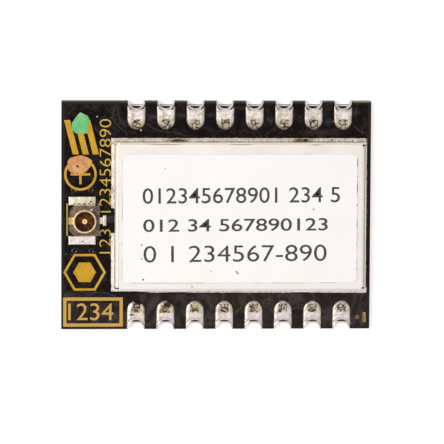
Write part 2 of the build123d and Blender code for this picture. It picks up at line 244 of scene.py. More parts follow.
fibres = add(tree, "Math multiply_add", waves, 0.12, fibres)
edge_shades = ((0.3, "#4d4028"), (0.5, "#75653f"), (0.75, "#94845a"))
cut_edge = add(tree, "ValToRGB", fibres, stops=edge_shades)
normal = add(tree, "NewGeometry").node.outputs["Normal"]
_, _, facing = add(tree, "SeparateXYZ", normal).node.outputs
facing = add(tree, "Math absolute", facing)
flat_face = add(tree, "MapRange", facing, 0.4, 0.6)
tone = add(tree, "Mix rgba", flat_face, cut_edge, mask)
lay_finish(shader, tone, add(tree, "TexNoise", place, Scale=1 / 0.5, Distortion=0.8), 0.008)


def finish_nodes(finish, *names):
    """Gives CAD nodes' objects their material."""
    for name in names:
        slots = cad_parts[name].data.materials
        slots.clear()
        slots.append(finish)


finish_nodes(masked_laminate, "circuit_board")


# Tracks and vias: copper under the solder mask that stands up as low ridges, the wide one being the aerial's
# feed. The four rings are plated holes, closed over by the mask.
ridge = 0.012
feed_width, track_width = 0.62, 0.1
via_radius, via_rim = 0.2, 0.09


def skin(shape, rings, closed=False):
    """Joins rings of points in turn to a closed shell. Its ends are filled, or joined where it runs round."""
    for ring, following in zip(rings, rings[1:] + rings[:1] * closed):
        for i in range(len(ring)):
            k = (i + 1) % len(ring)
            shape.faces.new((ring[i], ring[k], following[k], following[i]))
    if not closed:
        shape.faces.new(rings[0][::-1])
        shape.faces.new(rings[-1])


def ribbon(shape, points, width, low, high, closed=False):
    """A flat strip of even width along points in millimetres, with mitred turns: a closed shell."""
    count = len(points)
    rows = []
    for i, point in enumerate(points):
        here = Vector(point)
        before = Vector(points[i - 1]) if i or closed else here
        after = Vector(points[(i + 1) % count]) if i < count - 1 or closed else here
        first = (here - before).normalized() if before != here else (after - here).normalized()
        second = (after - here).normalized() if after != here else first
        along = (first + second).normalized()
        side = Vector((-along.y, along.x)) * (width / 2 / max(along.dot(first), 0.3))
        ring = [(here + side, low), (here - side, low), (here - side, high), (here + side, high)]
        rows.append([shape.verts.new((flat.x, flat.y, z)) for flat, z in ring])
    skin(shape, rows, closed)


def circle(x, y, radius, steps):
    """Points of a circle in millimetres."""
    turns = [2 * math.pi * i / steps for i in range(steps)]
    return [(x + radius * math.cos(turn), y + radius * math.sin(turn)) for turn in turns]


def new_object(name, shape, unit=mm):
    """A new object from a shape drawn in millimetres, or in another unit."""
    bmesh.ops.scale(shape, vec=(unit, unit, unit), verts=shape.verts)
    mesh = bpy.data.meshes.new(name)
    shape.to_mesh(mesh)
    shape.free()
    return shown(name, mesh)


def make_piece(name, shape, finish, slot, *nodes, crease=40):
    """Turns a shape drawn in millimetres into a shown piece that rides on the module."""
    bmesh.ops.remove_doubles(shape, verts=shape.verts, dist=1e-5)
    bmesh.ops.recalc_face_normals(shape, faces=shape.faces)
    piece = new_object(name, shape)
    piece.data.shade_smooth()
    piece.data.set_sharp_from_angle(angle=math.radians(crease))
    piece.data.materials.append(finish)
    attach(piece, body)
    if nodes:
        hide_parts(*nodes)


# A greyer, slightly lilac black, because light comes back from the copper through the mask.
dull = {"Roughness": 0.38, "Specular_IOR_Level": 0.16}
masked_copper, tree, shader, place = material("solder_mask_over_copper", **dull)
lay_finish(shader, mottled(tree, place, 0.4, ((0.3, "#1f1a1a"), (0.7, "#393334")), Detail=3.0))

shape = bmesh.new()
under = board_top - 0.01
over = board_top + ridge
ribbon(shape, [(-9.42, -0.35), (-8.6, -0.35)], feed_width, under, over)
track_routes = [
    [(-8.9, 9.1), (-8.9, 8.2), (-8.35, 7.55), (-7.75, 7.2), (-7.75, 6.9)],
    [(-8.5, 9.2), (-8.3, 8.1), (-7.8, 7.6)],
    [(-6.07, 7.94), (-5.55, 7.55), (-4.86, 7.25), (-3.99, 7.16), (-3.3, 7.08), (-2.6, 6.8)],
    [(11.8, 7.75), (12.3, 7.3), (12.95, 7.05)],
    [(-12.2, -6.3), (-11.2, -6.75), (-9.6, -6.7), (-8.6, -7.0)],
    [(-2.9, -6.9), (-2.2, -7.2), (-0.9, -7.05), (-0.6, -6.8)],
]
for route in track_routes:
    ribbon(shape, route, track_width, under, over)
via_places = ((-12.27, 2.19), (-10.79, 2.2), (-12.22, -3.07), (-10.75, -3.07))
for x, y in via_places:
    ribbon(shape, circle(x, y, via_radius, 24), via_rim, under, over, closed=True)
make_piece("masked_tracks", shape, masked_copper, "black_masked_laminate")


# Silkscreen: yellow epoxy ink printed on the left end of the board through a mesh. It is bars, a ring with a
# plus, a hexagon, a frame and counting numbers, in lines of about 0.2 mm.
ink_low = board_top - 0.006
ink_high = board_top + 0.016


def as_mesh(piece):
    """An object's shape, modifiers and all, as a new plain mesh."""
    bpy.context.view_layer.update()
    return bpy.data.meshes.new_from_object(piece.evaluated_get(bpy.context.evaluated_depsgraph_get()))


def printed(shape, words, left, right, base, top, low, high, turn=0.0, thin=0.0):
    """Numbers in the built-in face, fitted to a rectangle that is then turned about its lower left corner."""
    data = bpy.data.curves.new("numbers", "FONT")
    data.body = words
    data.size = top - base
    data.offset = -thin
    data.extrude = 0.5
    holder = shown("numbers", data)
    mesh = as_mesh(holder)
    low_x, high_x = min(v.co.x for v in mesh.vertices), max(v.co.x for v in mesh.vertices)
    low_y, high_y = min(v.co.y for v in mesh.vertices), max(v.co.y for v in mesh.vertices)
    fit = Matrix.Diagonal(((right - left) / (high_x - low_x), (top - base) / (high_y - low_y), high - low, 1))
    middle = Matrix.Translation((-low_x, -low_y, 0.5))
    spin = Matrix.Rotation(turn, 4, "Z")
    mesh.transform(Matrix.Translation((left, base, low)) @ spin @ fit @ middle)
    shape.from_mesh(mesh)
    bpy.data.objects.remove(holder)
    bpy.data.meshes.remove(mesh)
    bpy.data.curves.remove(data)


def plate(shape, points, low, high):
    """A flat plate with the given outline in millimetres: a closed shell."""
    skin(shape, [[shape.verts.new((x, y, z)) for x, y in points] for z in (low, high)])


# Warm yellow, paler on the frame, darker in spots where the ink is starved, and nearly rubbed off by the last
# terminal. The mesh's real grain is finer than a pixel, so it is drawn about three times as coarse.
ink, tree, shader, place = material("yellow_silkscreen_ink", Roughness=0.45, Specular_IOR_Level=0.2)
thick = add(tree, "TexNoise", place, Scale=1 / 0.12, Detail=4.0)
blot = add(tree, "TexNoise", place, Scale=1 / 0.9, Detail=3.0)
cover = add(tree, "Mix", 0.55, blot, thick)
ink_shades = ((0.32, "#9a7a24"), (0.44, "#c2951f"), (0.58, "#d4a324"), (0.75, "#e6be46"))
tone = add(tree, "ValToRGB", cover, stops=ink_shades)
across, along, _ = add(tree, "SeparateXYZ", place).node.outputs
on_frame = add(tree, "MapRange", along, -7.1, -6.9, 0.75, 0.0)
tone = add(tree, "Mix rgba", on_frame, tone, "#c9a355")
beside_can = add(tree, "MapRange", across, -10.1, -10.0, 0.0, 0.6)
beside_can = add(tree, "Math subtract", beside_can, on_frame, use_clamp=True)
tone = add(tree, "Mix rgba", beside_can, tone, "#d3b94e")
tone = stain(tree, place, tone, "#b3a049", -12.83, -0.37, 0.15, 1.6)
tone = stain(tree, place, tone, "#6a5936", 12.3, -8.85, 0.5, 0.6, solid=0.9)
tone = stain(tree, place, tone, "#77613a", 12.75, -9.0, 0.2, 0.7, solid=0.6)
lay_finish(shader, tone, thick, 0.008)

shape = bmesh.new()
ribbon(shape, [(-12.83, 1.028), (-12.83, -1.762)], 0.13, ink_low, ink_high)
ribbon(shape, [(-10.12, 1.028), (-10.12, 0.812)], 0.147, ink_low, ink_high)
bar_width, bar_gap, bar_lean, bars_left, bars_low, bars_high = 0.52, 0.34, 0.75, -13.1, 5.25, 8.2
for i in range(3):
    x = bars_left + i * (bar_width + bar_gap)
    foot = x + bar_lean
    slant = [(foot, bars_low), (foot + bar_width, bars_low), (x + bar_width, bars_high), (x, bars_high)]
    plate(shape, slant, ink_low, ink_high)
ring_x, ring_y, ring_size, plus_reach, stroke = -11.69, 3.534, 1.3, 0.85, 0.2
ribbon(shape, circle(ring_x, ring_y, ring_size, 48), stroke, ink_low, ink_high, closed=True)
ribbon(shape, [(ring_x - plus_reach, ring_y), (ring_x + plus_reach, ring_y)], stroke, ink_low, ink_high)
upright = [(ring_x, ring_y - plus_reach), (ring_x, ring_y + plus_reach)]
ribbon(shape, upright, stroke, ink_low, ink_high + 0.001)
column_x, figure_height, quarter_turn, thinner = -9.07, 0.976, math.pi / 2, 0.012
for words, foot, run in (("1234567890", 0.25, 8.035), ("123", -3.292, 2.074)):
    sides = (column_x, column_x + run, foot, foot + figure_height)
    printed(shape, words, *sides, ink_low, ink_high, quarter_turn, thinner)
sign_x, sign_y, sign_size, sign_middle = -11.32, -4.92, 1.72, 0.98
ribbon(shape, circle(sign_x, sign_y, sign_size, 6), stroke, ink_low, ink_high, closed=True)
plate(shape, circle(sign_x, sign_y, sign_middle, 6), ink_low, ink_high)
frame_corners, frame_stroke = [(-13.02, -7.24), (-8.17, -7.24), (-8.17, -9.49), (-13.02, -9.49)], 0.28
ribbon(shape, frame_corners, frame_stroke, ink_low, ink_high, closed=True)
printed(shape, "1234", -12.73, -8.84, -9.08, -7.61, ink_low, ink_high)
plate(shape, circle(12.25, -8.85, 0.2, 20), ink_low, ink_high)
printed(shape, "1", 12.68, 12.98, -9.3, -8.45, ink_low, ink_high)
make_piece("silkscreen", shape, ink, "black_masked_laminate")


# Edge terminals: sixteen half-holes, each a copper land on both faces joined through the hole, with a pillow
# of levelled solder on top that is rolled up along the hole's rim. Test probes scratched their inner ends.
first_low, first_high = (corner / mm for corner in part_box("terminal_01"))
second_low, _ = (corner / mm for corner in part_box("terminal_02"))
terminal_nodes = [f"terminal_{number:02d}" for number in range(1, 17)]
pitch = first_low.x - second_low.x
first_x = (first_low.x + first_high.x) / 2
land_length = first_high.y - first_low.y
land_half = (first_high.x - first_low.x) / 2
bottom_length = 2.0
hole_radius = 0.66
drill_radius = 0.72
foot_film = 0.32
foot_thickness = board_low.z
pillow = 0.1
copper_step = 0.03
edge_round, bead_round = 0.3, 0.06
valley_depth, valley_out, valley_width = 0.35, 0.2, 0.08
lumpy_from = 0.05


def rise(distance, width):
    """A straight rise, from 0 at the edge to 1 at width."""
    return min(max(distance / width, 0.0), 1.0)


def rounded(distance, width):
    """A quarter-round rise, from 0 at the edge to 1 at width."""
    return math.sqrt(max(1 - (1 - rise(distance, width)) ** 2, 0.0))


def outline_reach(angle, length):
    """How far the land's outline is from the hole's centre, in a direction."""
    c, s = math.cos(angle), math.sin(angle)
    straight = length - land_half
    if abs(c) > 1e-9 and land_half / abs(c) * s <= straight:
        return land_half / abs(c)
    return straight * s + math.sqrt(max((straight * s) ** 2 - straight**2 + land_half**2, 0.0))


def solder_height(x, y):
    """The solder's height over the board: a pillow that falls to the copper, with a bead along the hole."""
    straight = land_length - land_half
    inside = land_half - (abs(x) if y <= straight else math.hypot(x, y - straight))
    from_hole = math.hypot(x, y) - hole_radius
    valley = valley_depth * math.exp(-(((from_hole - valley_out) / valley_width) ** 2))
    full = rounded(inside, edge_round) * rounded(from_hole, bead_round)
    return copper_step + pillow * full * (1 - valley)


shape = bmesh.new()
wall_steps, around, outwards = 5, 64, 24
sections = []
for i in range(around + 1):
    angle = math.pi * i / around
    far, foot_far = outline_reach(angle, land_length), outline_reach(angle, bottom_length)
    profile = []
    for j in range(outwards + 1):
        r = hole_radius + (far - hole_radius) * (j / outwards) ** 1.3
        profile.append((r, board_top + solder_height(r * math.cos(angle), r * math.sin(angle))))
    profile += [(far, board_top), (drill_radius, board_top), (drill_radius, foot_thickness)]
    profile += [(foot_far, foot_thickness), (foot_far, 0.0)]
    profile += [(hole_radius, board_top * k / wall_steps) for k in range(wall_steps)]
    sections.append([shape.verts.new((r * math.cos(angle), r * math.sin(angle), z)) for r, z in profile])
skin(shape, sections)
film_reach = hole_radius + 0.03
film_start = math.asin(foot_film / film_reach)
film_turns = [film_start + (math.pi - 2 * film_start) * i / 20 for i in range(21)]
plate(shape, [(film_reach * math.cos(t), film_reach * math.sin(t)) for t in film_turns], 0.0, foot_thickness)
bmesh.ops.recalc_face_normals(shape, faces=shape.faces)
terminals = new_object("solder_terminals", shape)
attributes = terminals.data.attributes
for name, kind in (("land_place", "FLOAT_VECTOR"), ("lumps", "FLOAT")):
    attributes.new(name, kind, "POINT")
land_place, lumps = attributes["land_place"], attributes["lumps"]
for i, vertex in enumerate(terminals.data.vertices):
    x, y, z = vertex.co / mm
    land_place.data[i].vector = (x, y, z)
    lumps.data[i].value = rise(z - board_top - copper_step, lumpy_from)

# Bright cream metal with soft lumps, mottled by oxide, and dark lines where probes dug in. Painted shade
# dulls the left-facing flanks, and a painted dark reflection lies beside the holes, mostly the upper ones. In
# a half-hole the solder runs out to a thin lilac film; painted shade darkens the film towards the wall and
# the wall at its foot, and draws a dark dash under the rims of the lower holes.
levelled_solder, tree, shader, place = material("levelled_tin_solder", Metallic=1.0, Roughness=0.33)
on_land = add(tree, "Attribute", attribute_name="land_place").node.outputs["Vector"]
number = add(tree, "Attribute", attribute_name="terminal_number").node.outputs["Fac"]
upper = add(tree, "Attribute", attribute_name="upper_row").node.outputs["Fac"]
side, inwards, level = add(tree, "SeparateXYZ", on_land).node.outputs
own_place = add(tree, "VectorMath multiply_add", number, (0, 0, 3.7), on_land)
shades = ((0.32, "#b4a999"), (0.45, "#c9beb1"), (0.56, "#dad2c6"), (0.68, "#ebe5da"))
tone = mottled(tree, own_place, 0.45, shades, Detail=4.0, Distortion=0.3)
hue = add(tree, "TexNoise", own_place, Scale=1 / 0.9)
tone = wash(tree, tone, "#dfd8e3", hue, 0.5, 0.62, 0.0, 0.45, blend="smoothstep")
dirt = add(tree, "TexNoise", own_place, Scale=1 / 0.35, Detail=4.0, Distortion=0.6)
tone = wash(tree, tone, "#8d7a60", dirt, 0.58, 0.72, 0.0, 0.4, blend="smoothstep")
tone = wash(tree, tone, "#a3967f", inwards, 1.3, 1.8, 0.0, 0.45, blend="smoothstep")

bend = add(tree, "TexNoise", own_place, Scale=3.0, Detail=1.0).node.outputs["Color"]
bent_place = add(tree, "VectorMath multiply_add", bend, (0.3, 0.3, 0.3), own_place)
cells = add(tree, "TexVoronoi", bent_place, feature="DISTANCE_TO_EDGE", Scale=2.8)
scratch = add(tree, "MapRange smoothstep", cells, 0.06, 0.15, 0.95, 0.0)
mark_middle = add(tree, "Math multiply_add", upper, 0.15, 1.82)
mark_middle = add(tree, "CombineXYZ", Y=mark_middle)
from_mark = add(tree, "VectorMath subtract", on_land, mark_middle)
from_mark = add(tree, "VectorMath absolute", from_mark)
beside, before, _ = add(tree, "SeparateXYZ", from_mark).node.outputs
from_mark = add(tree, "Math maximum", beside, before)
ragged_edge = add(tree, "TexNoise", own_place, Scale=1 / 0.2)
from_mark = add(tree, "Math multiply_add", ragged_edge, 0.2, from_mark)
in_mark = add(tree, "MapRange smoothstep", from_mark, 0.45, 0.53, 1.0, 0.0)
rubbed = add(tree, "Math multiply", in_mark, 0.4)
scratch = add(tree, "Math multiply", scratch, in_mark)

flat_place = add(tree, "VectorMath multiply", on_land, (1.0, 1.0, 0.0))
to_hole = add(tree, "VectorMath length", flat_place)
# Painted dark reflection in a band beside the hole where the solder dips into its valley, in patches,
# strongest at the sides of the upper holes.
valley_reflection_band = ((0.73, "#000000"), (0.78, "#ffffff"), (0.88, "#ffffff"), (0.98, "#000000"))
valley = add(tree, "ValToRGB", to_hole, stops=valley_reflection_band)
patches = add(tree, "TexNoise", own_place, Scale=1 / 0.17, Detail=3.0, Distortion=0.5)
valley = faded(tree, valley, patches, 0.32, 0.44, 0.0, 1.0, blend="smoothstep")
off_middle = add(tree, "Math absolute", side)
valley = faded(tree, valley, off_middle, 0.38, 0.5, 0.1, 1.0)
valley = faded(tree, valley, upper, 0.0, 1.0, 0.12, 1.0)
lilac_end = add(tree, "MapRange smoothstep", inwards, 1.1, 1.45, 0.6, 0.0)
weaker_above = add(tree, "MapRange", upper, 0.0, 1.0, 1.0, 0.15)
lilac_end = add(tree, "Math multiply", lilac_end, weaker_above)
# Painted shade on the left-facing flanks, which tones down the lamp's highlight there.
normal = add(tree, "NewGeometry").node.outputs["Normal"]
leaning, _, _ = add(tree, "SeparateXYZ", normal).node.outputs
lean = add(tree, "Math multiply", leaning, -1.0)
flank_shade_band = ((0.03, "#000000"), (0.12, "#ffffff"), (0.3, "#ffffff"), (0.5, "#505050"))
flank_shade = add(tree, "ValToRGB", lean, stops=flank_shade_band)
flank_shade = faded(tree, flank_shade, upper, 0.0, 1.0, 0.4, 0.8)
# Painted shadow: a short dark dash just inside the rim of the lower holes.
on_rim = add(tree, "MapRange", to_hole, 0.83, 0.79)
off_edge = add(tree, "MapRange", inwards, 0.64, 0.68)
rim_shadow_dash = add(tree, "Math multiply", on_rim, off_edge)
rim_shadow_dash = add(tree, "Math multiply", rim_shadow_dash, weaker_above)
rim_shadow_dash = add(tree, "Math greater_than", rim_shadow_dash, 0.4)
layers = ((rubbed, "#8f7a5f"), (scratch, "#35281a"), (lilac_end, "#d3c6c7"))
layers += ((valley, "#332a23"), (flank_shade, "#857b70"), (rim_shadow_dash, "#3a3032"))
for share, colour in layers:
    tone = add(tree, "Mix rgba", share, tone, colour)
dirt_patches = (
    ("#b8b289", -1.2, 8.85, 0.22, 0.55, 0.5, 0.1),
    ("#29221f", -6.68, -7.5, 0.5, 0.24),
    ("#4a4326", -6.78, -7.95, 0.3, 0.1),
    ("#6b4f35", -7.24, -8.6, 0.24, 0.09),
    ("#f6f3ee", -7.4, -7.75, 0.16, 0.4),
    ("#3b2c24", -4.17, -7.75, 0.52, 0.36, 0.5, 0.4),
    ("#8a7355", -4.73, -8.26, 0.2, 0.18),
    ("#f5f2ee", -4.95, -7.8, 0.12, 0.14),
    ("#c3b8a5", -4.82, -8.87, 0.24, 0.2),
    ("#a19b7c", -1.67, -7.72, 0.45, 0.32),
    ("#f3f1ec", -2.44, -7.8, 0.12, 0.16),
)
for patch in dirt_patches:
    tone = stain(tree, place, tone, *patch)

# Painted shade in the half-hole: the film darkens towards the wall, behind a grey line along its front edge,
# and the wall is dark at its foot.
film_colours_and_shade = ((0.32, "#7b7274"), (0.37, "#7b7274"), (0.385, "#dbd2d6"), (0.46, "#dbd2d6"), (0.5, "#2a2421"))
upper_film = add(tree, "ValToRGB", inwards, stops=film_colours_and_shade)
lower_film = add(tree, "ValToRGB", inwards, stops=((0.47, "#e4dce0"), (0.52, "#2a2421")))
film_tone = add(tree, "Mix rgba", upper, lower_film, upper_film)
lit_wall = add(tree, "MapRange smoothstep", level, 0.1, 0.75)
shaded_wall_tone = add(tree, "Mix rgba", lit_wall, "#2a2421", "#d8cfd1")
on_film = add(tree, "Math less_than", level, foot_thickness + 0.02)
hole_tone = add(tree, "Mix rgba", on_film, shaded_wall_tone, film_tone)
below = add(tree, "Math less_than", level, board_top - 0.03)
near_hole = add(tree, "Math less_than", to_hole, hole_radius + 0.05)
in_hole = add(tree, "Math multiply", below, near_hole)
tone = add(tree, "Mix rgba", in_hole, tone, hole_tone)
fine = add(tree, "TexNoise", own_place, Scale=1 / 0.16, Detail=3.0, Distortion=0.3)
lay_finish(shader, tone, add(tree, "Math multiply_add", scratch, -0.8, fine), 0.012)


def node_group(name, values):
    """A Geometry Nodes tree with an input for each named value, its input node, and their identifiers."""
    group = bpy.data.node_groups.new(name, "GeometryNodeTree")
    for way in ("INPUT", "OUTPUT"):
        group.interface.new_socket(name="Geometry", in_out=way, socket_type="NodeSocketGeometry")
    keys = {}
    for label, value in values.items():
        kind = "NodeSocketInt" if isinstance(value, int) else "NodeSocketFloat"
        keys[label] = group.interface.new_socket(name=label, in_out="INPUT", socket_type=kind).identifier
    return group, group.nodes.new("NodeGroupInput").outputs, keys


def run_nodes(piece, group, keys, values):
    """Runs a Geometry Nodes tree on a piece and keeps the result as its plain mesh."""
    modifier = piece.modifiers.new(group.name, "NODES")
    modifier.node_group = group
    for label, value in values.items():
        modifier[keys[label]] = value
    mesh = as_mesh(piece)
    piece.modifiers.clear()
    piece.data = mesh


sizes = {"Per row": 8, "Pitch": pitch * mm, "First": first_x * mm, "Edge": board_high.y * mm}
sizes.update({"Lump": 0.055 * mm, "Grain": 1 / (0.3 * mm)})
rows, given, keys = node_group("terminal_rows", sizes)
step = add(rows, "Math multiply", given["Pitch"], -1.0)
offset = add(rows, "CombineXYZ", step)
both_rows = add(rows, "GeometryNodeJoinGeometry")
for sign, is_upper in ((-1.0, 0.0), (1.0, 1.0)):
    edge = add(rows, "Math multiply", given["Edge"], sign)
    start = add(rows, "CombineXYZ", given["First"], edge)
    line = add(rows, "GeometryNodeMeshLine", given["Per row"], start, offset)
    turn = (0.0, 0.0, math.pi * is_upper)
    placed = add(rows, "GeometryNodeInstanceOnPoints", line, Instance=given["Geometry"], Rotation=turn)
    number = add(rows, "Math add", add(rows, "GeometryNodeInputIndex"), 8.0 * is_upper)
    for name, value in (("terminal_number", number), ("upper_row", is_upper)):
        store = {"data_type": "FLOAT", "domain": "INSTANCE", "Name": name, "Value": value}
        placed = add(rows, "GeometryNodeStoreNamedAttribute", placed, **store)
    rows.links.new(placed, both_rows.node.inputs[0])
whole = add(rows, "GeometryNodeRealizeInstances", both_rows)
position = add(rows, "GeometryNodeInputPosition")
bumps = add(rows, "TexNoise", position, Scale=given["Grain"], Detail=2.0)
centred = add(rows, "Math subtract", bumps, 0.5)
sized = add(rows, "Math multiply", centred, given["Lump"])
weight = add(rows, "GeometryNodeInputNamedAttribute", "lumps", data_type="FLOAT")
sized = add(rows, "Math multiply", sized, weight)
whole = add(rows, "GeometryNodeSetPosition", whole, Offset=add(rows, "CombineXYZ", Z=sized))
whole = add(rows, "GeometryNodeSetMaterial", whole, Material=levelled_solder)
add(rows, "NodeGroupOutput", whole)
run_nodes(terminals, rows, keys, sizes)
terminals.data.shade_smooth()
terminals.data.set_sharp_from_angle(angle=math.radians(50))
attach(terminals, body)
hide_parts(*terminal_nodes)


# Shield can: one sheet of tinned steel folded down on four sides, with its corners left open and cut-outs at
# the foot of its walls. It is soldered to the board all round.
# Pale satin metal, dulled by a thin oxide film, with the faint streaks of the rolled sheet. The real streaks
# are a tenth as wide as these. Painted shade greys its right bend and a band along its left bend, and thin
# lines of painted dark reflection run along the lid's upper edge.
tinned_sheet, tree, shader, place = material("tinned_steel_sheet", Metallic=0.6, Roughness=0.26)
streaks = add(tree, "VectorMath multiply", place, (0.35, 4.0, 1.0))
streak = add(tree, "TexNoise", streaks, Scale=1.0, Detail=4.0)
cloud = add(tree, "TexNoise", place, Scale=1 / 3.0, Detail=3.0, Distortion=0.5)
both = add(tree, "Mix", 0.4, cloud, streak)
tone = add(tree, "ValToRGB", both, stops=((0.3, "#e5ded7"), (0.5, "#eee8e1"), (0.7, "#f4f0ea")))
across, along, _ = add(tree, "SeparateXYZ", place).node.outputs
tone = wash(tree, tone, "#eeebe9", along, -6.0, -5.0, 0.7, 0.0)
# Painted shade greys the right bend.
right_bend_shade = add(tree, "MapRange", across, 12.35, 12.65, 0.0, 0.65)
right_bend_shade = faded(tree, right_bend_shade, across, 12.7, 12.8, 1.0, 0.0)
tone = add(tree, "Mix rgba", right_bend_shade, tone, "#b8aea2")
# A band of painted shade along the left bend tones down the lamp's highlight there.
left_bend_shade = ((0.0, "#000000"), (0.2, "#ffffff"), (0.55, "#ffffff"), (0.85, "#000000"))
from_left = add(tree, "MapRange", across, -8.58, -8.4)
from_left = add(tree, "ValToRGB", from_left, stops=left_bend_shade)
tone = add(tree, "Mix rgba", from_left, tone, "#c2baae")
# Two small dark specks, and thin grey lines along the lid's upper edge that are painted dark reflection of
# the bend.
lid_specks_and_bend_shade = (
    ("#5a5450", 5.2, 5.37, 0.07, 0.06),
    ("#6b645e", -2.15, -6.0, 0.08, 0.06),
    ("#77705f", 8.4, 6.2, 0.5, 0.03),
    ("#8a836c", -4.5, 6.22, 1.6, 0.03),
    ("#8a836c", 2.0, 6.22, 1.2, 0.03),
)
for speck in lid_specks_and_bend_shade:
    tone = stain(tree, place, tone, *speck)
lay_finish(shader, tone, streak, 0.002)
finish_nodes(tinned_sheet, "shield_can")


# Solder along the shield can: hand-run fillets between its walls and the board, lumpy and uneven, with dark
# and orange flux burnt on in places. They run past the long walls' cut-outs and stop at the aerial's feed.
# Towards its left end the lower run gets thinner.
bank_nodes = ["shield_solder_upper_left", "shield_solder_upper", "shield_solder_right", "shield_solder_lower"]
bank_nodes.append("shield_solder_lower_left")


def lumpy_copy(nodes, voxel, lump, grain, seed, fills=()):
    """A melted-looking copy of CAD nodes and added fills in millimetres: one skin around each, with lumps."""
    shape = bmesh.new()
    for node in nodes:
        shape.from_mesh(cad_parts[node].data)
    bmesh.ops.remove_doubles(shape, verts=shape.verts, dist=1e-7)
    bmesh.ops.scale(shape, vec=(1 / mm, 1 / mm, 1 / mm), verts=shape.verts)
    for left, right, near, far, near_top, far_top in fills:
        first = len(shape.verts)
        plate(shape, [(left, near), (right, near), (right, far), (left, far)], board_top, near_top)
        shape.verts.ensure_lookup_table()
        for vertex in shape.verts[first:]:
            if vertex.co.z > board_top and vertex.co.y == far:
                vertex.co.z = far_top
    holder = new_object("copy", shape, unit=1.0)
    melted = holder.modifiers.new("melted", "REMESH")
    melted.mode = "VOXEL"
    melted.voxel_size = voxel
    shape = bmesh.new()
    shape.from_mesh(as_mesh(holder))
    bpy.data.objects.remove(holder)
    shape.normal_update()
    start = Vector((seed * 7.3, seed * 3.1, 0))
    moves = []
    for vertex in shape.verts:
        size = noise.fractal((vertex.co + start) / grain, 1.0, 2.0, 2)
        moves.append(vertex.normal * size * lump)
    for vertex, move in zip(shape.verts, moves):
        vertex.co += move
        vertex.co.z = max(vertex.co.z, board_top - 0.02)
    return shape


# Satin cream-grey metal with olive oxide and brown spots of burnt flux. Painted light whitens it on the left
# wall and along the lower run, and painted shade darkens it on the right.
run_solder, tree, shader, place = material("hand_run_tin_solder", Metallic=0.5, Roughness=0.46)
shades = ((0.3, "#e3dabf"), (0.5, "#f7efdc"), (0.7, "#fffaf0"))
tone = mottled(tree, place, 0.6, shades, Detail=4.0, Distortion=0.5)
grime = add(tree, "TexNoise", place, Scale=1 / 0.35, Detail=4.0, Distortion=1.0)
tone = wash(tree, tone, "#837a62", grime, 0.55, 0.66, 0.0, 0.4, blend="smoothstep")
across, along, _ = add(tree, "SeparateXYZ", place).node.outputs
# Painted shade darkens the right run; painted light whitens the left run and the lower one.
tone = wash(tree, tone, "#655c53", across, 12.82, 12.9, 0.0, 0.9)
tone = wash(tree, tone, "#fdf6ec", across, -8.75, -8.6, 1.0, 0.0)
tone = wash(tree, tone, "#fffdf8", along, -6.3, -6.2, 1.0, 0.0)
stains = (
    ("#a59c80", -3.35, 6.55, 1.1, 0.25),
    ("#a59c80", 7.4, 6.55, 1.0, 0.25),
    ("#5d4f35", -3.35, 6.48, 0.6, 0.13),
    ("#8a6030", 7.1, 6.5, 0.4, 0.15),
    ("#3e3226", 7.65, 6.5, 0.22, 0.13),
    ("#cfa484", -8.78, 6.25, 0.22, 0.2),
    ("#dcb9a0", -8.95, 2.15, 0.15, 0.35),
    ("#3c3024", 9.9, 6.5, 0.07, 0.07),
    ("#3c3024", 10.56, 6.43, 0.1, 0.06),
    ("#3c3024", 11.72, 6.45, 0.06, 0.06),
    ("#5a4038", 12.75, 6.3, 0.1, 0.1),
    ("#453c2e", 12.95, 4.2, 0.12, 0.25),
    ("#453c2e", 12.95, -2.3, 0.12, 0.2),
    ("#453c2e", 12.95, -4.1, 0.12, 0.2),
    ("#3c3226", -8.7, -6.4, 0.1, 0.08),
    ("#3c3226", 10.69, -6.45, 0.08, 0.06),
    ("#3c3226", 12.72, -6.45, 0.08, 0.06),
)
for spot in stains:
    tone = stain(tree, place, tone, *spot)
fine = add(tree, "TexNoise", place, Scale=1 / 0.14, Detail=3.0, Distortion=0.4)
lay_finish(shader, tone, fine, 0.015)
wall_top, foot_top = board_top + 0.26, board_top + 0.03
cut_outs = ((-4.2, -2.45), (6.46, 8.21))
fills = [(left, right, 6.43, 6.67, wall_top, foot_top) for left, right in cut_outs]
fills += [(left, right, -6.65, -6.43, foot_top, wall_top) for left, right in cut_outs]
corner_fill = (-8.74, -8.3, 6.02, 6.38, 2.7, 2.6)
shape = lumpy_copy(bank_nodes, 0.045, 0.04, 0.3, 1, fills + [corner_fill])
# The foot spreads out along the left wall and the lower one, and is drawn in at the lower one's left end.
spread, spread_over = 0.035, 0.1
left_foot, lower_foot = -8.9, -6.5
for vertex in shape.verts:
    past_corner = rise(vertex.co.x + 7.0, 1.5)
    spread_below = (2.7 * past_corner - 1.7) * spread + 0.003 * vertex.co.x
    vertex.co.x -= spread * rise(left_foot - vertex.co.x, spread_over)
    vertex.co.y -= spread_below * rise(lower_foot - vertex.co.y, spread_over)
make_piece("shield_solder", shape, run_solder, "joint_solder", *bank_nodes, crease=180)


# Label: smooth coated white paper with rounded corners, stuck a little unevenly on the can's lid, its edge
# drawn as a thin broken grey line of painted shadow. Its print is counting numbers, level with the paper,
# slightly turned.
label_low, label_high = (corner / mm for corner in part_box("label"))
corner_radius = 0.56
paper_top = label_high.z - 0.012
paper_edge = 0.06


def rounded_rectangle(low, high, radius, steps):
    """Points of a rectangle with round corners, anticlockwise from the right side, in millimetres."""
    points = []
    middles = [(high.x - radius, high.y - radius), (low.x + radius, high.y - radius)]
    middles += [(low.x + radius, low.y + radius), (high.x - radius, low.y + radius)]
    for corner, (x, y) in enumerate(middles):
        for i in range(steps + 1):
            turn = math.pi / 2 * (corner + i / steps)
            points.append((x + radius * math.cos(turn), y + radius * math.sin(turn)))
    return points


